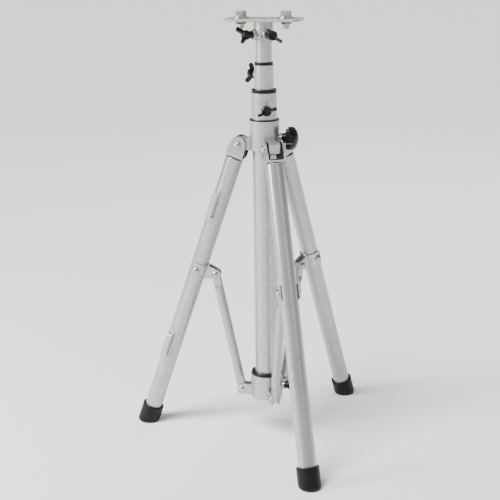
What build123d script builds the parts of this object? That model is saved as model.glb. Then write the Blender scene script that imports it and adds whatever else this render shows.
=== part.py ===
"""Speaker stand: telescoping mast, three braced folding legs and a bolted top plate.

Millimetres, +Z up. The origin is on the floor, on the mast axis. The top plate's long side
lies along X, and legs 1, 2 and 3 point to 180, 300 and 60 degrees.
"""

import os
from math import atan2, cos, degrees, hypot, radians, sin

from build123d import *

# ---- driving dimensions ----------------------------------------------------------------
LEG_AZIMUTHS = {1: 180, 2: 300, 3: 60}
LEG_ANGLE = 19.15                       # leg from the vertical, stand open
PIVOT_R, PIVOT_Z = 52, 628.5            # leg hinge
LEG_LENGTH = 665.3                      # hinge to the floor, along the leg
EAR_X, EAR_S = -39, -281                # brace's upper pivot in the leg's frame
SADDLE_S = -283.7                       # saddle bolt, along the leg
LOWER_R, LOWER_Z = 54, 96.2             # brace's lower pivot, on the sliding collar

MAIN_R, MAIN_BORE = 24.3, 22.7
MAIN_BOTTOM, MAIN_TOP = 86, 733
SLEEVE_R, SLEEVE_BOTTOM = 25.4, 681
MIDDLE_R, MIDDLE_BORE = 19.3, 17.7
MIDDLE_BOTTOM, MIDDLE_TOP = 112, 787
UPPER_R, UPPER_BORE = 15.9, 14.4
UPPER_BOTTOM, UPPER_TOP = 125, 862
HUB_R, HUB_BORE, HUB_BOTTOM, HUB_TOP = 30.25, 27.25, 619, 678
COLLAR_R, COLLAR_BORE, COLLAR_BOTTOM, COLLAR_TOP = 33.5, 29, 83.4, 135
SOCKET_R, SOCKET_BORE, SOCKET_BOTTOM = 19.3, 16.3, 837
PLATE_X, PLATE_Y, PLATE_BOTTOM, PLATE_TOP = 150, 73, 872.5, 877
LEG_R, LEG_BORE = 18.2, 16.4
BRACE_R, BRACE_WALL, BRACE_FLAT = 9.5, 1.5, 11.6

LUG_W, LUG_OUT, LUG_BOTTOM, LUG_TOP = 23, 64.5, 617.5, 641.5
CHEEK, CHEEK_T, WEB_BOTTOM = 19.1, 3.2, -28.1
EAR_IN, EAR_OUT = 6.3, 9.3              # both clevises, from the middle to each face
PIN_R, PIN_HOLE, LOOSE_HOLE = 4, 4.06, 4.5
STEM_R, STEM_HOLE = 4, 4.08

MAIN_LOCK = {"azimuth": 288, "z": 702, "face": 31.4, "tip": 19.7, "roll": 20}
UPPER_LOCK = {"azimuth": 138, "z": 767, "face": 25.5, "tip": 16.3, "roll": 108}
HEAD_LOCK_A = {"azimuth": 217, "z": 846.5, "face": 24.5, "tip": 16.3, "roll": 139}
HEAD_LOCK_B = {"azimuth": 307, "z": 846.5, "face": 24.5, "tip": 16.3, "roll": -40}
HUB_LOCK = {"azimuth": 0, "z": 642, "face": 37, "tip": 24.7, "roll": 45}
COLLAR_LOCK = {"azimuth": 0, "z": 109, "face": 39, "tip": 24.7, "roll": 0}
BOLT_X = 45                             # speaker bolts, each side of the middle

THETA = radians(LEG_ANGLE)
EAR_R = PIVOT_R + EAR_X * cos(THETA) - EAR_S * sin(THETA)
EAR_Z = PIVOT_Z + EAR_X * sin(THETA) + EAR_S * cos(THETA)
BRACE_LENGTH = hypot(EAR_R - LOWER_R, EAR_Z - LOWER_Z)
BRACE_ANGLE = degrees(atan2(EAR_R - LOWER_R, EAR_Z - LOWER_Z))

os.makedirs("parts", exist_ok=True)


def save(part, label):
    """Name a finished part and write its file."""
    part.label = label
    export_step(part, f"parts/{label}.step")


# ---- frames ----------------------------------------------------------------------------
def outward(azimuth, z, r=0):
    """Frame with Z pointing out from the mast, X sideways and Y up."""
    a = radians(azimuth)
    return Plane(origin=(r * cos(a), r * sin(a), z), x_dir=(-sin(a), cos(a), 0),
                 z_dir=(cos(a), sin(a), 0))


def leaning(azimuth, r, z, lean):
    """Frame with Z up a bar whose top leans inwards, X outwards and Y sideways."""
    a, b = radians(azimuth), radians(lean)
    return Plane(origin=(r * cos(a), r * sin(a), z),
                 x_dir=(cos(b) * cos(a), cos(b) * sin(a), sin(b)),
                 z_dir=(-sin(b) * cos(a), -sin(b) * sin(a), cos(b)))


def flank(frame, y=0):
    """Plane of a side view: sketch X is the frame's X, sketch Y its Z, extruding along -Y."""
    return Plane(origin=frame.from_local_coords((0, y, 0)), x_dir=frame.x_dir,
                 z_dir=-frame.y_dir)


def crosswise(frame, x=0, z=0):
    """Plane across a bar at a point in its side view, facing the frame's Y."""
    return Plane(origin=frame.from_local_coords((x, 0, z)), x_dir=frame.x_dir,
                 z_dir=frame.y_dir)


def rolled(frame, angle):
    """The same frame turned about its own Z."""
    a = radians(angle)
    return Plane(origin=frame.origin, x_dir=frame.x_dir * cos(a) + frame.y_dir * sin(a),
                 z_dir=frame.z_dir)


# ---- shapes used again and again ---------------------------------------------------------
def rod(frame, radius, start, end, mode=Mode.ADD):
    """Round bar along the frame's Z."""
    with BuildSketch(frame.offset(start)) as disc:
        Circle(radius)
    extrude(disc.sketch, amount=end - start, mode=mode)


def ring(frame, outer, inner, start, end, mode=Mode.ADD):
    """Round tube along the frame's Z."""
    with BuildSketch(frame.offset(start)) as annulus:
        Circle(outer)
        Circle(inner, mode=Mode.SUBTRACT)
    extrude(annulus.sketch, amount=end - start, mode=mode)


def hexagon(frame, across_flats, start, end):
    """Hexagonal bar along the frame's Z."""
    with BuildSketch(frame.offset(start)) as hexagonal:
        RegularPolygon(across_flats / 2, 6, major_radius=False)
    extrude(hexagonal.sketch, amount=end - start)


def dome(frame, radius, start, height, facing=1):
    """Domed bolt head standing on a plane, towards the frame's Z or away from it."""
    base = start * facing
    with BuildSketch(flank(frame)) as profile:
        with BuildLine():
            Polyline((0, base + facing * height), (0, base), (radius, base),
                     (radius, base + facing * 0.22 * height))
            TangentArc((0, base + facing * height), (radius, base + facing * 0.22 * height),
                       tangent=(1, 0))
        make_face()
    revolve(profile.sketch, axis=Axis(frame.origin, frame.z_dir))


def domed_pin(frame, pin_r, grip, head_r, head_h):
    """Pin along the frame's Z with a domed head at both ends of its grip."""
    rod(frame, pin_r, -grip - 0.5, grip + 0.5)
    dome(frame, head_r, grip, head_h)
    dome(frame, head_r, grip, head_h, facing=-1)


def lock_boss(lock, radius, inside):
    """Round boss for a clamping screw, from inside the wall out to its face."""
    rod(outward(lock["azimuth"], lock["z"]), radius, inside, lock["face"])


def lock_hole(lock, radius=STEM_HOLE):
    """Hole for a clamping screw."""
    rod(outward(lock["azimuth"], lock["z"]), radius, 5, lock["face"] + 1, mode=Mode.SUBTRACT)


def outer_rims(part, radius, axis=Axis.Z):
    """Circular edges of one radius."""
    return [e for e in part.edges().filter_by(GeomType.CIRCLE) if abs(e.radius - radius) < 0.01]


MAST = Plane.XY

# ---- mast: main tube, its sleeve and the clamped hub ---------------------------------------
with BuildPart() as main_tube:
    ring(MAST, MAIN_R, MAIN_BORE, MAIN_BOTTOM, MAIN_TOP)
    lock_hole(MAIN_LOCK, LOOSE_HOLE)
save(main_tube.part, "main_tube")

with BuildPart() as main_tube_plug:
    rod(MAST, MAIN_BORE, MAIN_BOTTOM, 104)
    rod(MAST, MAIN_R, MAIN_BOTTOM - 2.2, MAIN_BOTTOM)
    chamfer(outer_rims(main_tube_plug.part, MAIN_R)[:1], 0.8)
save(main_tube_plug.part, "main_tube_plug")

with BuildPart() as main_sleeve:
    ring(MAST, SLEEVE_R, MAIN_R, SLEEVE_BOTTOM, MAIN_TOP)
    lock_boss(MAIN_LOCK, 11, 15)
    rod(MAST, MAIN_R, SLEEVE_BOTTOM - 1, MAIN_TOP + 1, mode=Mode.SUBTRACT)
    lock_hole(MAIN_LOCK)
    fillet([e for e in outer_rims(main_sleeve.part, 11)
            if hypot(e.center().X, e.center().Y) > 31], 1)
save(main_sleeve.part, "main_sleeve")

with BuildPart() as main_top_bush:
    ring(MAST, 25, 19.6, MAIN_TOP, 740)
    ring(MAST, MAIN_BORE, 19.6, 712, MAIN_TOP)
    fillet([e for e in outer_rims(main_top_bush.part, 25)], 1)
save(main_top_bush.part, "main_top_bush")

with BuildPart() as hub_body:
    ring(MAST, HUB_R, HUB_BORE, HUB_BOTTOM, HUB_TOP)
    for azimuth in LEG_AZIMUTHS.values():
        leg = leaning(azimuth, PIVOT_R, PIVOT_Z, 0)
        with BuildSketch(flank(leg)):
            with BuildLine():
                Polyline((-PIVOT_R + 25, LUG_BOTTOM - PIVOT_Z), (LUG_OUT - PIVOT_R - 3,
                         LUG_BOTTOM - PIVOT_Z), (LUG_OUT - PIVOT_R, LUG_BOTTOM - PIVOT_Z + 3),
                         (LUG_OUT - PIVOT_R, LUG_TOP - PIVOT_Z - 3),
                         (LUG_OUT - PIVOT_R - 3, LUG_TOP - PIVOT_Z),
                         (-PIVOT_R + 33, LUG_TOP - PIVOT_Z), (-PIVOT_R + 30, LUG_TOP -
                         PIVOT_Z + 3), (-PIVOT_R + 25, LUG_TOP - PIVOT_Z + 3), close=True)
            make_face()
        extrude(amount=LUG_W / 2, both=True)
    lock_boss(HUB_LOCK, 7, 26)
    rod(MAST, HUB_BORE, 600, 700, mode=Mode.SUBTRACT)
    lock_hole(HUB_LOCK)
    for azimuth in LEG_AZIMUTHS.values():
        rod(crosswise(leaning(azimuth, PIVOT_R, PIVOT_Z, 0)), PIN_R, -20, 20,
            mode=Mode.SUBTRACT)
save(hub_body.part, "hub_body")

with BuildPart() as hub_bushes:
    ring(MAST, 29.75, MAIN_R, HUB_TOP, HUB_TOP + 2.5)
    ring(MAST, HUB_BORE, MAIN_R, 652, HUB_TOP)
    fillet([e for e in outer_rims(hub_bushes.part, 29.75)], 0.8)
    ring(MAST, HUB_BORE, MAIN_R, HUB_BOTTOM, 632)
save(hub_bushes.part, "hub_bushes")

with BuildPart() as leg_pivot_bolts:
    for azimuth in LEG_AZIMUTHS.values():
        domed_pin(crosswise(leaning(azimuth, PIVOT_R, PIVOT_Z, 0)), PIN_R, 19.4, 7.5, 5.4)
save(leg_pivot_bolts.part, "leg_pivot_bolts")

# ---- middle tube, raised inside the main tube ----------------------------------------------
with BuildPart() as middle_tube:
    ring(MAST, MIDDLE_R, MIDDLE_BORE, MIDDLE_BOTTOM, MIDDLE_TOP)
    lock_boss(UPPER_LOCK, 9, 12)
    rod(MAST, MIDDLE_BORE, 740, 800, mode=Mode.SUBTRACT)
    lock_hole(UPPER_LOCK)
    fillet([e for e in outer_rims(middle_tube.part, 9)
            if hypot(e.center().X, e.center().Y) > 25], 1)
save(middle_tube.part, "middle_tube")

with BuildPart() as middle_top_bush:
    ring(MAST, 18.5, 16.2, MIDDLE_TOP, 793)
    ring(MAST, MIDDLE_BORE, 16.2, 774, MIDDLE_TOP)
    fillet([e for e in outer_rims(middle_top_bush.part, 18.5) if e.center().Z > 790], 0.8)
save(middle_top_bush.part, "middle_top_bush")

with BuildPart() as middle_foot_bush:
    ring(MAST, 22.35, 13, 107, MIDDLE_BOTTOM)
    ring(MAST, 22.35, MIDDLE_R, MIDDLE_BOTTOM, 127)
save(middle_foot_bush.part, "middle_foot_bush")

# ---- upper tube, raised inside the middle tube ---------------------------------------------
with BuildPart() as upper_tube:
    ring(MAST, UPPER_R, UPPER_BORE, UPPER_BOTTOM, UPPER_TOP)
save(upper_tube.part, "upper_tube")

with BuildPart() as upper_top_plug:
    rod(MAST, UPPER_BORE, 842, UPPER_TOP)
    rod(MAST, UPPER_R, UPPER_TOP, 872)
    chamfer([e for e in outer_rims(upper_top_plug.part, UPPER_R) if e.center().Z > 870], 1.5)
    rod(MAST, 11.5, 841, 860, mode=Mode.SUBTRACT)
save(upper_top_plug.part, "upper_top_plug")

with BuildPart() as upper_foot_bush:
    ring(MAST, 17.35, 10, 118, UPPER_BOTTOM)
    ring(MAST, 17.35, UPPER_R, UPPER_BOTTOM, 140)
save(upper_foot_bush.part, "upper_foot_bush")

# ---- head: plate welded on a socket, two speaker bolts --------------------------------------
with BuildPart() as top_plate:
    with BuildSketch(Plane.XY.offset(PLATE_BOTTOM)) as outline:
        Rectangle(PLATE_X, PLATE_Y)
        chamfer(outline.vertices(), 9)
        fillet(outline.vertices(), 2)
        Circle(4, mode=Mode.SUBTRACT)
        with Locations((BOLT_X, 0), (-BOLT_X, 0)):
            Circle(6.5, mode=Mode.SUBTRACT)
    extrude(amount=PLATE_TOP - PLATE_BOTTOM)
    chamfer([e for e in top_plate.edges().group_by(Axis.Z)[-1] + top_plate.edges().group_by(
        Axis.Z)[0] if e.geom_type == GeomType.LINE or e.radius < 3], 0.5)
save(top_plate.part, "top_plate")

SET_AZIMUTH, SET_Z = 262, 842
with BuildPart() as head_socket:
    ring(MAST, SOCKET_R, SOCKET_BORE, SOCKET_BOTTOM, PLATE_BOTTOM)
    for lock in (HEAD_LOCK_A, HEAD_LOCK_B):
        lock_boss(lock, 11, 10)
    rod(MAST, SOCKET_BORE, 830, PLATE_BOTTOM, mode=Mode.SUBTRACT)
    for lock in (HEAD_LOCK_A, HEAD_LOCK_B):
        lock_hole(lock)
    rod(outward(SET_AZIMUTH, SET_Z), 2.5, 10, 30, mode=Mode.SUBTRACT)
    fillet([e for e in outer_rims(head_socket.part, 11)
            if hypot(e.center().X, e.center().Y) > 24], 1)
save(head_socket.part, "head_socket")

with BuildPart() as head_set_screw:
    frame = outward(SET_AZIMUTH, SET_Z)
    rod(frame, 2.5, 16.4, 21)
    hexagon(frame, 7, 20.2, 24)
save(head_set_screw.part, "head_set_screw")

with BuildPart() as speaker_bolts:
    for x in (BOLT_X, -BOLT_X):
        frame = Plane.XY.move(Location((x, 0, 0)))
        hexagon(frame, 19, 882.3, 890.8)
    trimmed = [e for e in speaker_bolts.edges() if e.center().Z > 890]
    chamfer(trimmed, 0.8)
    for x in (BOLT_X, -BOLT_X):
        frame = Plane.XY.move(Location((x, 0, 0)))
        rod(frame, 6, 857, 882.3)
    chamfer([e for e in outer_rims(speaker_bolts.part, 6) if e.center().Z < 858], 1.2)
save(speaker_bolts.part, "speaker_bolts")

with BuildPart() as flat_washers:
    for x in (BOLT_X, -BOLT_X):
        ring(Plane.XY.move(Location((x, 0, 0))), 16, 6.5, PLATE_TOP, PLATE_TOP + 2.3)
save(flat_washers.part, "flat_washers")

with BuildPart() as spring_washers:
    for x in (BOLT_X, -BOLT_X):
        frame = Plane.XY.move(Location((x, 0, 0)))
        ring(frame, 10.75, 6.2, PLATE_TOP + 2.3, PLATE_TOP + 5.3)
        with BuildSketch(flank(frame, -5)):
            with Locations((0, PLATE_TOP + 3.8)):
                Rectangle(1.2, 8, rotation=-25)
        extrude(amount=8, mode=Mode.SUBTRACT)
save(spring_washers.part, "spring_washers")

with BuildPart() as speaker_nuts:
    for x in (BOLT_X, -BOLT_X):
        frame = Plane.XY.move(Location((x, 0, 0)))
        hexagon(frame, 19, PLATE_BOTTOM - 6.5, PLATE_BOTTOM)
    chamfer([e for e in speaker_nuts.edges() if e.center().Z < PLATE_BOTTOM - 6], 0.8)
    for x in (BOLT_X, -BOLT_X):
        rod(Plane.XY.move(Location((x, 0, 0))), 6, 860, 880, mode=Mode.SUBTRACT)
save(speaker_nuts.part, "speaker_nuts")


# ---- clamping knobs ------------------------------------------------------------------------
def wing_knob(lock, seat):
    """Y-shaped knob on a round body; the seat is its distance from the mast axis."""
    frame = rolled(outward(lock["azimuth"], lock["z"], seat), lock["roll"])
    rod(frame, 9.5, 9, 19)
    with BuildSketch(flank(frame)) as wings:
        for side in (1, -1):
            with BuildLine():
                Polyline((0, 12), (side * 6, 12), (side * 12, 15.5), (side * 20, 24),
                         (side * 20, 26), (side * 16.5, 29), (side * 14.5, 29), (side * 5, 20),
                         (0, 18.5), close=True)
            make_face()
        fillet([v for v in wings.vertices() if abs(v.X) > 13], 1.4)
    extrude(wings.sketch, amount=2.8, both=True)
    rod(frame, 7.25, 0, 9)


def wing_knobs(lock, name):
    """Knob and screw of one clamp."""
    seat = lock["face"] + 0.4
    axis = outward(lock["azimuth"], lock["z"])
    with BuildPart() as knob:
        wing_knob(lock, seat)
        rod(axis, STEM_R, 0, seat + 14, mode=Mode.SUBTRACT)
    save(knob.part, f"{name}_knob")
    with BuildPart() as screw:
        rod(axis, STEM_R, lock["tip"], seat + 14)
        chamfer(outer_rims(screw.part, STEM_R), 0.6)
    save(screw.part, f"{name}_screw")


wing_knobs(HEAD_LOCK_A, "head_lock_a")
wing_knobs(HEAD_LOCK_B, "head_lock_b")
wing_knobs(UPPER_LOCK, "upper_lock")
wing_knobs(MAIN_LOCK, "main_lock")
wing_knobs(COLLAR_LOCK, "collar_lock")

with BuildPart() as hub_lock_knob:
    axis = outward(0, HUB_LOCK["z"])
    front = rolled(axis, HUB_LOCK["roll"])
    with BuildSketch(front.offset(47)) as star:
        Circle(18.5)
        with PolarLocations(17.8, 4):
            Circle(8.4)
        fillet(star.vertices(), 4)
    extrude(amount=22)
    with BuildSketch(flank(axis)):
        with BuildLine():
            Polyline((0, 69), (0, 46), (25, 46), (27, 50), (27, 53))
            ThreePointArc((27, 53), (16, 64.8), (0, 69))
        make_face()
    revolve(axis=Axis(axis.origin, axis.z_dir), mode=Mode.INTERSECT)
    rod(axis, 10.5, 37.4, 49)
    rod(axis, STEM_R, 0, 56, mode=Mode.SUBTRACT)
save(hub_lock_knob.part, "hub_lock_knob")

with BuildPart() as hub_lock_screw:
    rod(outward(0, HUB_LOCK["z"]), STEM_R, HUB_LOCK["tip"], 56)
    chamfer(outer_rims(hub_lock_screw.part, STEM_R), 0.6)
save(hub_lock_screw.part, "hub_lock_screw")


# ---- legs ----------------------------------------------------------------------------------
def bracket_profile(half, bottom, corner, front, back, top_r):
    """Solid block with rounded lower corners, its top rounded about the hinge."""
    with BuildSketch(Plane(origin=leg.from_local_coords((back, 0, 0)), x_dir=leg.y_dir,
                           z_dir=leg.x_dir)) as block:
        with Locations((0, (bottom + 30) / 2)):
            Rectangle(2 * half, 30 - bottom)
        fillet(block.vertices().group_by(Axis.Y)[0], corner)
    extrude(block.sketch, amount=front - back)
    with BuildSketch(flank(leg)) as side_view:
        with BuildLine():
            Polyline((back, bottom - 1), (front, bottom - 1), (front, -12), (top_r, 0),
                     (-top_r, 0), (back, -12), close=True)
        make_face()
        Circle(top_r)
    extrude(side_view.sketch, amount=half + 1, both=True, mode=Mode.INTERSECT)


for number, azimuth in LEG_AZIMUTHS.items():
    leg = leaning(azimuth, PIVOT_R, PIVOT_Z, LEG_ANGLE)
    saddle_bolt = crosswise(leg, 0, SADDLE_S)
    ear_bolt = crosswise(leg, EAR_X, EAR_S)

    with BuildPart() as leg_tube:
        rod(leg, LEG_R, -651, -30)
        fillet([e for e in outer_rims(leg_tube.part, LEG_R) if e.center().Z > 500], 1.6)
        rod(leg, LEG_BORE, -652, -32, mode=Mode.SUBTRACT)
        rod(leg, 11, -30.2, WEB_BOTTOM)
        rod(leg, 3, -40, 0, mode=Mode.SUBTRACT)
        rod(saddle_bolt, PIN_R, -30, 30, mode=Mode.SUBTRACT)
    save(leg_tube.part, f"leg_tube_{number}")

    with BuildPart() as leg_bracket:
        bracket_profile(CHEEK, WEB_BOTTOM, 7, 18, -18, 16)
        with BuildSketch(Plane(origin=leg.from_local_coords((-30, 0, 0)), x_dir=leg.y_dir,
                               z_dir=leg.x_dir)) as inside:
            with Locations((0, (WEB_BOTTOM + CHEEK_T + 40) / 2)):
                Rectangle(2 * (CHEEK - CHEEK_T), 40 - WEB_BOTTOM - CHEEK_T)
            fillet(inside.vertices().group_by(Axis.Y)[0], 3.8)
        extrude(amount=60, mode=Mode.SUBTRACT)
        rod(crosswise(leg), PIN_HOLE, -30, 30, mode=Mode.SUBTRACT)
        rod(leg, 3, -40, 0, mode=Mode.SUBTRACT)
    save(leg_bracket.part, f"leg_bracket_{number}")

    with BuildPart() as liner:
        bracket_profile(CHEEK - CHEEK_T, WEB_BOTTOM + CHEEK_T, 3.8, 16, -20, 14.5)
        with BuildSketch(Plane(origin=leg.from_local_coords((-30, 0, 0)), x_dir=leg.y_dir,
                               z_dir=leg.x_dir)):
            with Locations((0, 8.75)):
                Rectangle(2 * 11.95, 62.5)
        extrude(amount=60, mode=Mode.SUBTRACT)
        rod(crosswise(leg), PIN_HOLE, -30, 30, mode=Mode.SUBTRACT)
        rod(leg, 8, -30, -20, mode=Mode.SUBTRACT)
    save(liner.part, f"bracket_liner_{number}")

    with BuildPart() as bracket_screw:
        rod(leg, 6, -24.9, -22.3)
        fillet([e for e in outer_rims(bracket_screw.part, 6)
                if leg.to_local_coords(e.center()).Z > -23], 1.2)
        rod(leg, 3, -38, -24.9)
        with BuildSketch(leg.offset(-22.3)):
            Rectangle(8, 1.3)
            Rectangle(1.3, 8)
        extrude(amount=-1.3, mode=Mode.SUBTRACT)
    save(bracket_screw.part, f"bracket_screw_{number}")

    with BuildPart() as saddle:
        with BuildSketch(leg.offset(SADDLE_S - 15)):
            Circle(LEG_R + 3)
            with Locations((4.5, 0)):
                Rectangle(9, 2 * LEG_R + 6)
            with Locations((30, 0)):
                Rectangle(42, 60, mode=Mode.SUBTRACT)
            Circle(LEG_R, mode=Mode.SUBTRACT)
            with Locations((10, 0)):
                Rectangle(20, 2 * LEG_R, mode=Mode.SUBTRACT)
        extrude(amount=30)
        for side in (EAR_OUT, -EAR_IN):
            with BuildSketch(flank(leg, side)):
                with Locations((-18.5, SADDLE_S)):
                    Rectangle(1, 30)
                with Locations((EAR_X, EAR_S)):
                    Circle(10)
                make_hull()
            extrude(amount=EAR_OUT - EAR_IN)
        rod(saddle_bolt, PIN_R, -30, 30, mode=Mode.SUBTRACT)
        rod(ear_bolt, PIN_R, -30, 30, mode=Mode.SUBTRACT)
    save(saddle.part, f"saddle_{number}")

    with BuildPart() as saddle_bolts:
        domed_pin(saddle_bolt, PIN_R, LEG_R + 3, 7.5, 5.2)
        domed_pin(ear_bolt, PIN_R, EAR_OUT, 7, 4.6)
    save(saddle_bolts.part, f"saddle_bolts_{number}")

    with BuildPart() as foot:
        rod(leg, 23, -690, -623.8)
        with BuildSketch(Plane.XY.offset(-60)):
            Rectangle(900, 900)
        extrude(amount=60, mode=Mode.SUBTRACT)
        fillet(foot.edges().group_by(Axis.Z)[0], 6)
        fillet([e for e in outer_rims(foot.part, 23) if e.center().Z > 20], 1.2)
        rod(leg, LEG_R, -651, -600, mode=Mode.SUBTRACT)
    save(foot.part, f"foot_{number}")

# ---- cable hooks on leg 1 --------------------------------------------------------------------
leg = leaning(LEG_AZIMUTHS[1], PIVOT_R, PIVOT_Z, LEG_ANGLE)
hook = rolled(leg, 70)
with BuildPart() as cable_hooks:
    for base, tip in ((-163, -108), (-439, -499)):
        step = 2.5 if tip > base else -2.5
        with BuildSketch(flank(hook)) as strap:
            with BuildLine():
                Polyline((15, base), (31.2, base), (31.2, tip), (28.7, tip),
                         (28.7, base + step), (15, base + step), close=True)
            make_face()
            outer = strap.vertices().sort_by_distance((31.2, base))[0]
            fillet(outer, 4)
            inner = strap.vertices().sort_by_distance((28.7, base + step))[0]
            fillet(inner, 1.5)
        extrude(amount=6, both=True)
    rod(leg, LEG_R, -700, 0, mode=Mode.SUBTRACT)
    ends = [e for e in cable_hooks.edges().filter_by(GeomType.LINE)
            if abs(e.length - 2.5) < 0.01 and hook.to_local_coords(e.center()).X > 28]
    fillet(ends, 4)
save(cable_hooks.part, "cable_hooks")

# ---- braces ----------------------------------------------------------------------------------
for number, azimuth in LEG_AZIMUTHS.items():
    bar = leaning(azimuth, LOWER_R, LOWER_Z, -BRACE_ANGLE)
    with BuildPart() as brace:
        rod(bar, BRACE_R, -BRACE_R, BRACE_LENGTH + BRACE_R)
        with BuildSketch(flank(bar)):
            with Locations((0, BRACE_LENGTH / 2)):
                SlotCenterToCenter(BRACE_LENGTH, 2 * BRACE_R, rotation=90)
        extrude(amount=BRACE_R, both=True, mode=Mode.INTERSECT)
        for side in (1, -1):
            with BuildSketch(Plane(origin=bar.origin, x_dir=bar.y_dir, z_dir=bar.x_dir)):
                with BuildLine():
                    flat, out = side * BRACE_FLAT / 2, side * 12
                    Polyline((flat, -12), (flat, 24), (side * BRACE_R, 34),
                             (side * BRACE_R, BRACE_LENGTH - 34), (flat, BRACE_LENGTH - 24),
                             (flat, BRACE_LENGTH + 12), (out, BRACE_LENGTH + 12), (out, -12),
                             close=True)
                make_face()
            extrude(amount=12, both=True, mode=Mode.SUBTRACT)
    core_r = BRACE_R - BRACE_WALL
    with BuildPart() as core:
        rod(bar, core_r, -12, BRACE_LENGTH + 12)
        for side in (1, -1):
            with BuildSketch(Plane(origin=bar.origin, x_dir=bar.y_dir, z_dir=bar.x_dir)):
                with BuildLine():
                    flat, out = side * (BRACE_FLAT / 2 - BRACE_WALL), side * 12
                    Polyline((flat, -13), (flat, 24), (side * core_r, 34),
                             (side * core_r, BRACE_LENGTH - 34), (flat, BRACE_LENGTH - 24),
                             (flat, BRACE_LENGTH + 13), (out, BRACE_LENGTH + 13), (out, -13),
                             close=True)
                make_face()
            extrude(amount=12, both=True, mode=Mode.SUBTRACT)
    lower_hole = PIN_HOLE if number == 1 else LOOSE_HOLE
    with BuildPart() as hollow:
        add(brace.part)
        add(core.part, mode=Mode.SUBTRACT)
        rod(crosswise(bar), lower_hole, -20, 20, mode=Mode.SUBTRACT)
        rod(crosswise(bar, 0, BRACE_LENGTH), PIN_HOLE, -20, 20, mode=Mode.SUBTRACT)
    save(hollow.part, f"brace_{number}")

# ---- sliding lower collar ----------------------------------------------------------------------
with BuildPart() as collar_body:
    ring(MAST, COLLAR_R, COLLAR_BORE, COLLAR_BOTTOM, COLLAR_TOP)
    for azimuth in LEG_AZIMUTHS.values():
        for side in (EAR_OUT, -EAR_IN):
            arm = leaning(azimuth, 0, 0, 0)
            with BuildSketch(flank(arm, side)) as ear:
                with Locations(((30 + 62.5) / 2, 95.5)):
                    Rectangle(62.5 - 30, 23)
                fillet(ear.vertices().group_by(Axis.X)[-1], 4)
            extrude(amount=EAR_OUT - EAR_IN)
        rod(crosswise(leaning(azimuth, LOWER_R, LOWER_Z, 0)), PIN_R, -20, 20,
            mode=Mode.SUBTRACT)
    lock_boss(COLLAR_LOCK, 7.5, 26)
    rod(MAST, COLLAR_BORE, 60, 160, mode=Mode.SUBTRACT)
    lock_hole(COLLAR_LOCK)
save(collar_body.part, "collar_body")

with BuildPart() as collar_bush:
    ring(MAST, COLLAR_BORE, 24.75, COLLAR_BOTTOM, COLLAR_TOP)
    ring(MAST, 32, 24.75, COLLAR_TOP, 140.5)
    lock_hole(COLLAR_LOCK, LOOSE_HOLE)
    fillet([e for e in outer_rims(collar_bush.part, 32) if e.center().Z > 140], 1.2)
save(collar_bush.part, "collar_bush")

with BuildPart() as collar_rivets:
    for azimuth in LEG_AZIMUTHS.values():
        domed_pin(crosswise(leaning(azimuth, LOWER_R, LOWER_Z, 0)), PIN_R, EAR_OUT, 7, 4.4)
save(collar_rivets.part, "collar_rivets")
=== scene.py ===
"""Looks of a speaker tripod stand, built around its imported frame.

Every visible piece is a node of the frame. Here each gets its finish, and the stage, the
lights and the camera are set.
"""

import math

import bpy
from mathutils import Matrix, Vector

bl_info = {
    "name": "Speaker tripod stand",
    "version": (1, 0, 0),
    "blender": (4, 5, 0),
    "location": "3D View > Sidebar > Stand",
    "description": "Finishes, stage, lights and camera of a speaker tripod stand",
    "category": "Object",
}

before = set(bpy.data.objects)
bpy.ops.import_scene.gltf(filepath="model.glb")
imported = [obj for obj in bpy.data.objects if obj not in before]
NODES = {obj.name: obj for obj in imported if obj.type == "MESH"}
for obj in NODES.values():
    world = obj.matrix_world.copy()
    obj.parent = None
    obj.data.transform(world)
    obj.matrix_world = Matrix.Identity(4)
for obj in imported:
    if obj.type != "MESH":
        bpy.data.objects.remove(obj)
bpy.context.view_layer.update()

# Socket numbers of Blender's colour mix node
MIX_FACTOR, MIX_FIRST, MIX_SECOND, MIX_RESULT = 0, 6, 7, 2

# Spans over which the masks rise from nothing to full
EDGE_SPAN = (0.515, 0.60)
EDGE_BREAK_SPAN = (0.42, 0.62)
CLOUD_SPAN = (0.35, 0.65)
SPECKLE_SPAN = (0.38, 0.62)
DUST_SPAN = (0.45, 0.70)

BUMP_HEIGHT = 0.0004                # metres
DUST_COLOUR = (0.30, 0.29, 0.27)
DUST_ROUGHNESS = 0.25               # added where dust lies
CLOUD_ROUGHNESS = (-0.04, 0.05)     # either side of a finish's own roughness
FLECK_GAIN, FLECK_LIFT = 0.35, 0.01

# Shade of each finish's clouds, as a share of its body colour
PLATE_SHADE = 0.86
ZINC_SHADE = 0.72
PLASTIC_SHADE = 0.6
RUBBER_SHADE = 0.7
FLOOR_SHADE = 0.985

DARK_STEEL, DARK_STEEL_SHADE = (0.10, 0.095, 0.085), (0.05, 0.048, 0.045)

STUDIO_TINT, STUDIO_STRENGTH = (0.96, 0.97, 1.0, 1), 0.3
SKY_POWER = 4.6
SKY_SPREAD = math.radians(28)
SKY_TILT = (math.radians(24), math.radians(-20), 0)
# Name, place, target, side in metres, power in watts, tint
LAMPS = (("key", (-2.2, -1.2, 1.3), (0, 0, 0.45), 0.8, 80, (1, 1, 1)),
         ("fill", (2.6, -2.2, 1.8), (0, 0, 0.45), 1.2, 12, (1.0, 0.98, 0.95)),
         ("back", (0.4, 2.6, 2.4), (0, 0, 0.5), 1.4, 26, (1, 1, 1)))

SENSOR_WIDTH = 36                   # millimetres
CLIP_END = 200                      # metres, past the floor's far edge
ROLL = math.radians(-0.78)          # camera, about its line of sight


# ---- settings --------------------------------------------------------------------------
def colour(name, description, default):
    """Linear colour property."""
    return bpy.props.FloatVectorProperty(name=name, description=description, size=3,
                                         subtype="COLOR", min=0, max=1, default=default)


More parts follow.
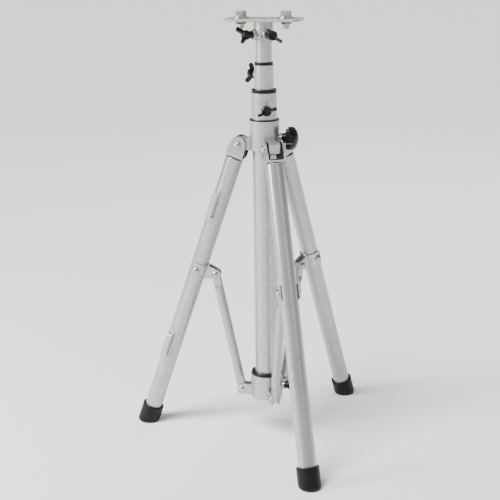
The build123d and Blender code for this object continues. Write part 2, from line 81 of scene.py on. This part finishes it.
class StandFinish(bpy.types.PropertyGroup):
    """Colours and grain of the stand's finishes."""

    silver: colour("Silver paint", "Body colour of the tubes", (0.40, 0.42, 0.43))
    silver_shade: colour("Silver paint, dark", "Darker cloud in the paint", (0.375, 0.395, 0.405))
    plate: colour("Plate paint", "Body colour of the top plate", (0.42, 0.40, 0.37))
    zinc: colour("Zinc", "Plated bolts, nuts and rivets", (0.52, 0.48, 0.38))
    plastic: colour("Black plastic", "Knobs, bushes and liners", (0.004, 0.004, 0.0045))
    rubber: colour("Black rubber", "Feet", (0.006, 0.006, 0.0065))
    wear: colour("Worn edge", "Metal that shows where paint is rubbed", (0.60, 0.60, 0.58))
    flake: bpy.props.FloatProperty(name="Flake size", description="Grain of the silver paint",
                                   default=0.0009, min=0.0001, max=0.01, unit="LENGTH")


class StandStage(bpy.types.PropertyGroup):
    """Floor and camera."""

    floor: colour("Floor", "Colour of the floor", (0.96, 0.96, 0.96))
    floor_size: bpy.props.FloatProperty(name="Floor size", description="Side of the floor",
                                        default=90.0, min=2, max=200, unit="LENGTH")
    lens: bpy.props.FloatProperty(name="Lens", description="Focal length of the camera",
                                  default=77.9, min=20, max=200, unit="CAMERA")
    place: bpy.props.FloatVectorProperty(name="Camera place", description="Camera position",
                                         size=3, default=(0.4613, -2.0979, 1.0345),
                                         subtype="TRANSLATION", unit="LENGTH")
    view: bpy.props.FloatVectorProperty(name="Camera view", description="Line of sight",
                                        size=3, default=(-0.2202, 0.9343, -0.2803),
                                        subtype="DIRECTION")


# ---- shared shader groups ----------------------------------------------------------------
def new_group(name, inputs, outputs):
    """Empty shader group with named sockets; each entry is (name, socket kind, default)."""
    tree = bpy.data.node_groups.new(name, "ShaderNodeTree")
    for label, kind, default in inputs:
        socket = tree.interface.new_socket(label, in_out="INPUT", socket_type=kind)
        socket.default_value = default
    for label, kind in outputs:
        tree.interface.new_socket(label, in_out="OUTPUT", socket_type=kind)
    return tree, tree.nodes.new("NodeGroupInput"), tree.nodes.new("NodeGroupOutput")


def add(tree, kind, **values):
    """Node with its settings; a name that is a socket sets that socket."""
    node = tree.nodes.new(kind)
    for key, value in values.items():
        if hasattr(node, key):
            setattr(node, key, value)
        else:
            node.inputs[key.replace("_", " ")].default_value = value
    return node


def mix(tree, a, b, factor):
    """Colour mix of two sockets or colours."""
    node = tree.nodes.new("ShaderNodeMix")
    node.data_type = "RGBA"
    for index, value in ((MIX_FIRST, a), (MIX_SECOND, b), (MIX_FACTOR, factor)):
        socket = node.inputs[index]
        if isinstance(value, bpy.types.NodeSocket):
            tree.links.new(value, socket)
        elif isinstance(value, (int, float)):
            socket.default_value = value
        else:
            socket.default_value = (*value[:3], 1)
    return node.outputs[MIX_RESULT]


def ramp(tree, value, low, high, out_low=0.0, out_high=1.0):
    """Value mapped from one span to another, smoothly."""
    node = tree.nodes.new("ShaderNodeMapRange")
    node.interpolation_type = "SMOOTHSTEP"
    for index, number in enumerate((low, high, out_low, out_high), start=1):
        node.inputs[index].default_value = number
    tree.links.new(value, node.inputs[0])
    return node.outputs[0]


def edge_group():
    """Mask of rubbed edges, broken up by noise."""
    tree, given, out = new_group("Edge wear", [("Amount", "NodeSocketFloat", 0.3),
                                               ("Break up", "NodeSocketFloat", 140.0)],
                                 [("Mask", "NodeSocketFloat")])
    link = tree.links.new
    geometry = tree.nodes.new("ShaderNodeNewGeometry")
    where = tree.nodes.new("ShaderNodeTexCoord")
    noise = add(tree, "ShaderNodeTexNoise", Detail=5.0, Roughness=0.6)
    link(where.outputs["Object"], noise.inputs["Vector"])
    link(given.outputs["Break up"], noise.inputs["Scale"])
    edge = ramp(tree, geometry.outputs["Pointiness"], *EDGE_SPAN)
    spots = ramp(tree, noise.outputs["Fac"], *EDGE_BREAK_SPAN)
    first = add(tree, "ShaderNodeMath", operation="MULTIPLY")
    link(edge, first.inputs[0])
    link(spots, first.inputs[1])
    second = add(tree, "ShaderNodeMath", operation="MULTIPLY", use_clamp=True)
    link(first.outputs[0], second.inputs[0])
    link(given.outputs["Amount"], second.inputs[1])
    link(second.outputs[0], out.inputs["Mask"])
    return tree


def grain_group():
    """Fine grain: a cloud mask, a speckle mask and a bumped normal."""
    tree, given, out = new_group(
        "Fine grain", [("Grain", "NodeSocketFloat", 900.0), ("Cloud", "NodeSocketFloat", 9.0),
                       ("Strength", "NodeSocketFloat", 0.08)],
        [("Clouds", "NodeSocketFloat"), ("Speckle", "NodeSocketFloat"),
         ("Normal", "NodeSocketVector")])
    link = tree.links.new
    where = tree.nodes.new("ShaderNodeTexCoord")
    fine = add(tree, "ShaderNodeTexNoise", Detail=3.0, Roughness=0.55)
    broad = add(tree, "ShaderNodeTexNoise", Detail=4.0, Roughness=0.5)
    for node, name in ((fine, "Grain"), (broad, "Cloud")):
        link(where.outputs["Object"], node.inputs["Vector"])
        link(given.outputs[name], node.inputs["Scale"])
    bump = add(tree, "ShaderNodeBump", Distance=BUMP_HEIGHT)
    link(fine.outputs["Fac"], bump.inputs["Height"])
    link(given.outputs["Strength"], bump.inputs["Strength"])
    link(ramp(tree, broad.outputs["Fac"], *CLOUD_SPAN), out.inputs["Clouds"])
    link(ramp(tree, fine.outputs["Fac"], *SPECKLE_SPAN), out.inputs["Speckle"])
    link(bump.outputs["Normal"], out.inputs["Normal"])
    return tree


def dust_group():
    """Patchy mask of dust, broken up by noise."""
    tree, given, out = new_group("Dust", [("Amount", "NodeSocketFloat", 0.3)],
                                 [("Mask", "NodeSocketFloat")])
    link = tree.links.new
    where = tree.nodes.new("ShaderNodeTexCoord")
    noise = add(tree, "ShaderNodeTexNoise", Scale=60.0, Detail=6.0, Roughness=0.65)
    link(where.outputs["Object"], noise.inputs["Vector"])
    times = add(tree, "ShaderNodeMath", operation="MULTIPLY", use_clamp=True)
    link(ramp(tree, noise.outputs["Fac"], *DUST_SPAN), times.inputs[0])
    link(given.outputs["Amount"], times.inputs[1])
    link(times.outputs[0], out.inputs["Mask"])
    return tree


def shared(name, maker):
    """A shader group, made once."""
    return bpy.data.node_groups.get(name) or maker()


def place_group(tree, name, maker, **values):
    """One shared group placed in a material with its own values."""
    node = tree.nodes.new("ShaderNodeGroup")
    node.node_tree = shared(name, maker)
    for key, value in values.items():
        node.inputs[key.replace("_", " ")].default_value = value
    return node


# ---- materials -----------------------------------------------------------------------------
def finish(name, light, dark, metallic, rough, grain, cloud, bump, worn=None, wear=0.0,
           dust=0.0, coat=0.0, coat_rough=0.1, speck=0.5, ior=1.5, gloss=0.5):
    """Material from the shared groups: clouded colour, varied roughness, wear and dust."""
    material = bpy.data.materials.new(name)
    material.use_nodes = True
    tree = material.node_tree
    tree.nodes.clear()
    link = tree.links.new
    out = tree.nodes.new("ShaderNodeOutputMaterial")
    shader = tree.nodes.new("ShaderNodeBsdfPrincipled")
    link(shader.outputs[0], out.inputs[0])
    shader.inputs["IOR"].default_value = ior
    shader.inputs["Specular IOR Level"].default_value = gloss
    shader.inputs["Coat Weight"].default_value = coat
    shader.inputs["Coat Roughness"].default_value = coat_rough
    fine = place_group(tree, "Fine grain", grain_group, Grain=grain, Cloud=cloud,
                       Strength=bump)
    edge = place_group(tree, "Edge wear", edge_group, Amount=wear)
    dirt = place_group(tree, "Dust", dust_group, Amount=dust)
    base = mix(tree, light, dark, fine.outputs["Clouds"])
    fleck = tuple(min(1.0, c * (1 + speck * FLECK_GAIN) + FLECK_LIFT * speck) for c in light)
    specks = add(tree, "ShaderNodeMath", operation="MULTIPLY")
    specks.inputs[1].default_value = speck
    link(fine.outputs["Speckle"], specks.inputs[0])
    base = mix(tree, base, fleck, specks.outputs[0])
    base = mix(tree, base, worn or light, edge.outputs["Mask"])
    base = mix(tree, base, DUST_COLOUR, dirt.outputs["Mask"])
    link(base, shader.inputs["Base Color"])
    smoother, rougher = (rough + change for change in CLOUD_ROUGHNESS)
    roughness = ramp(tree, fine.outputs["Clouds"], 0.0, 1.0, smoother, rougher)
    dirty = add(tree, "ShaderNodeMath", operation="MULTIPLY_ADD", use_clamp=True)
    link(dirt.outputs["Mask"], dirty.inputs[0])
    dirty.inputs[1].default_value = DUST_ROUGHNESS
    link(roughness, dirty.inputs[2])
    link(dirty.outputs[0], shader.inputs["Roughness"])
    if worn:
        metal = add(tree, "ShaderNodeMath", operation="MULTIPLY_ADD", use_clamp=True)
        link(edge.outputs["Mask"], metal.inputs[0])
        metal.inputs[1].default_value = 1 - metallic
        metal.inputs[2].default_value = metallic
        link(metal.outputs[0], shader.inputs["Metallic"])
    else:
        shader.inputs["Metallic"].default_value = metallic
    link(fine.outputs["Normal"], shader.inputs["Normal"])
    return material


def dress(names, material):
    """Gives nodes of the frame a material."""
    for name in names:
        node = NODES[name]
        if not node.material_slots:
            node.data.materials.append(material)
        for slot in node.material_slots:
            slot.material = material


def named(*starts):
    """Nodes whose names begin with any of these."""
    found = [name for name in NODES if name.startswith(starts)]
    if not found:
        raise RuntimeError(f"no node starts with {starts}")
    return found


# ---- operators -------------------------------------------------------------------------------
class STAND_OT_tubes(bpy.types.Operator):
    """Silver paint on the mast tubes, legs, braces, hub, collar and brackets"""

    bl_idname = "stand.tubes"
    bl_label = "Painted tubes"

    def execute(self, context):
        look = context.scene.stand_finish
        grain = 1 / look.flake
        paint = finish("silver_paint", look.silver, look.silver_shade, metallic=0.62,
                       rough=0.30, grain=grain, cloud=7.0, bump=0.03, worn=look.wear,
                       wear=0.4, coat=0.4, coat_rough=0.2, speck=0.12)
        dress(("main_tube", "main_sleeve", "middle_tube", "upper_tube", "hub_body",
               "head_socket", "collar_body", "cable_hooks"), paint)
        dress(named("leg_tube_", "leg_bracket_", "brace_"), paint)
        saddle = finish("saddle_paint", look.silver, look.silver_shade, metallic=0.66,
                        rough=0.28, grain=grain, cloud=14.0, bump=0.04, worn=look.wear,
                        wear=0.6, dust=0.03, coat=0.3, coat_rough=0.2, speck=0.15)
        dress([f"saddle_{k}" for k in (1, 2, 3)], saddle)
        return {"FINISHED"}


class STAND_OT_plate(bpy.types.Operator):
    """Light satin paint on the top plate"""

    bl_idname = "stand.plate"
    bl_label = "Top plate"

    def execute(self, context):
        look = context.scene.stand_finish
        shade = tuple(c * PLATE_SHADE for c in look.plate)
        satin = finish("plate_paint", look.plate, shade, metallic=0.35, rough=0.42,
                       grain=800.0, cloud=18.0, bump=0.06, worn=look.wear, wear=0.6,
                       dust=0.12, coat=0.2, coat_rough=0.25)
        dress(["top_plate"], satin)
        return {"FINISHED"}


class STAND_OT_fasteners(bpy.types.Operator):
    """Plated finish on the bolts, nuts, washers, rivets and screws"""

    bl_idname = "stand.fasteners"
    bl_label = "Plated fasteners"

    def execute(self, context):
        look = context.scene.stand_finish
        shade = tuple(c * ZINC_SHADE for c in look.zinc)
        zinc = finish("zinc_plate", look.zinc, shade, metallic=1.0, rough=0.27, grain=700.0,
                      cloud=90.0, bump=0.05, worn=look.wear, wear=0.4, dust=0.08)
        dress(named("leg_pivot_bolts", "saddle_bolts_", "collar_rivets", "bracket_screw_",
                    "speaker_bolts", "flat_washers", "spring_washers", "head_set_screw"), zinc)
        dress([n for n in NODES if n.endswith("_screw")], zinc)
        dark = finish("dark_steel", DARK_STEEL, DARK_STEEL_SHADE, metallic=1.0, rough=0.38,
                      grain=600.0, cloud=70.0, bump=0.08, worn=look.wear, wear=0.5,
                      dust=0.12)
        dress(["speaker_nuts"], dark)
        return {"FINISHED"}


class STAND_OT_plastics(bpy.types.Operator):
    """Black moulded plastic on the knobs, bushes, plugs and bracket liners"""

    bl_idname = "stand.plastics"
    bl_label = "Black plastics"

    def execute(self, context):
        look = context.scene.stand_finish
        shade = tuple(c * PLASTIC_SHADE for c in look.plastic)
        black = finish("black_plastic", look.plastic, shade, metallic=0.0, rough=0.32,
                       grain=520.0, cloud=30.0, bump=0.10, dust=0.004, coat=0.03,
                       coat_rough=0.2, speck=0.1, ior=1.42, gloss=0.3)
        dress([n for n in NODES if n.endswith("_knob") or "bush" in n or "plug" in n
               or "liner" in n], black)
        return {"FINISHED"}


class STAND_OT_feet(bpy.types.Operator):
    """Black rubber on the feet"""

    bl_idname = "stand.feet"
    bl_label = "Rubber feet"

    def execute(self, context):
        look = context.scene.stand_finish
        shade = tuple(c * RUBBER_SHADE for c in look.rubber)
        rubber = finish("foot_rubber", look.rubber, shade, metallic=0.0, rough=0.42,
                        grain=420.0, cloud=40.0, bump=0.16, dust=0.012, speck=0.1,
                        ior=1.45, gloss=0.22)
        dress(named("foot_"), rubber)
        return {"FINISHED"}


def lamp(name, place, target, size, power, tint):
    """Square area light aimed at a point."""
    data = bpy.data.lights.new(name, "AREA")
    data.shape = "SQUARE"
    data.size = size
    data.energy = power
    data.color = tint
    light = bpy.data.objects.new(name, data)
    light.location = place
    light.rotation_euler = (Vector(target) - Vector(place)).to_track_quat("-Z", "Y").to_euler()
    bpy.context.scene.collection.objects.link(light)


class STAND_OT_stage(bpy.types.Operator):
    """Pale floor, soft studio lights and the camera"""

    bl_idname = "stand.stage"
    bl_label = "Stage"

    def execute(self, context):
        stage = context.scene.stand_stage
        scene = context.scene
        half = stage.floor_size / 2
        mesh = bpy.data.meshes.new("floor")
        mesh.from_pydata([(-half, -half, 0), (half, -half, 0), (half, half, 0),
                          (-half, half, 0)], [], [(0, 1, 2, 3)])
        floor = bpy.data.objects.new("floor", mesh)
        scene.collection.objects.link(floor)
        shade = tuple(c * FLOOR_SHADE for c in stage.floor)
        paper = finish("floor_paper", stage.floor, shade, metallic=0.0, rough=0.8,
                       grain=60.0, cloud=1.5, bump=0.02, speck=0.05)
        floor.data.materials.append(paper)
        world = bpy.data.worlds.new("studio")
        world.use_nodes = True
        studio = world.node_tree.nodes["Background"]
        studio.inputs["Color"].default_value = STUDIO_TINT
        studio.inputs["Strength"].default_value = STUDIO_STRENGTH
        scene.world = world
        sky = bpy.data.lights.new("sky", "SUN")
        sky.energy = SKY_POWER
        sky.angle = SKY_SPREAD
        overhead = bpy.data.objects.new("sky", sky)
        overhead.rotation_euler = SKY_TILT
        scene.collection.objects.link(overhead)
        for settings in LAMPS:
            lamp(*settings)
        data = bpy.data.cameras.new("camera")
        data.lens = stage.lens
        data.sensor_width = SENSOR_WIDTH
        data.clip_end = CLIP_END
        camera = bpy.data.objects.new("camera", data)
        forward = Vector(stage.view).normalized()
        right = forward.cross(Vector((0, 0, 1))).normalized()
        up = right.cross(forward)
        side = right * math.cos(ROLL) + up * math.sin(ROLL)
        top = up * math.cos(ROLL) - right * math.sin(ROLL)
        turn = Matrix((side, top, -forward)).transposed().to_4x4()
        camera.matrix_world = Matrix.Translation(Vector(stage.place)) @ turn
        scene.collection.objects.link(camera)
        scene.camera = camera
        return {"FINISHED"}


class STAND_PT_panel(bpy.types.Panel):
    """Lists the stand's finishing steps"""

    bl_idname = "STAND_PT_panel"
    bl_label = "Speaker stand"
    bl_space_type = "VIEW_3D"
    bl_region_type = "UI"
    bl_category = "Stand"

    def draw(self, context):
        for group in (context.scene.stand_finish, context.scene.stand_stage):
            for name in group.__annotations__:
                self.layout.prop(group, name)
        for step in STEPS:
            self.layout.operator(step.bl_idname)


STEPS = (STAND_OT_tubes, STAND_OT_plate, STAND_OT_fasteners, STAND_OT_plastics,
         STAND_OT_feet, STAND_OT_stage)
CLASSES = (StandFinish, StandStage, *STEPS, STAND_PT_panel)


def register():
    """Adds the classes and the scene's settings."""
    for item in CLASSES:
        bpy.utils.register_class(item)
    bpy.types.Scene.stand_finish = bpy.props.PointerProperty(type=StandFinish)
    bpy.types.Scene.stand_stage = bpy.props.PointerProperty(type=StandStage)


def unregister():
    """Removes them again."""
    del bpy.types.Scene.stand_stage
    del bpy.types.Scene.stand_finish
    for item in reversed(CLASSES):
        bpy.utils.unregister_class(item)


def main():
    """Runs every step in order."""
    register()
    bpy.ops.stand.tubes()
    bpy.ops.stand.plate()
    bpy.ops.stand.fasteners()
    bpy.ops.stand.plastics()
    bpy.ops.stand.feet()
    bpy.ops.stand.stage()


if __name__ == "__main__":
    main()
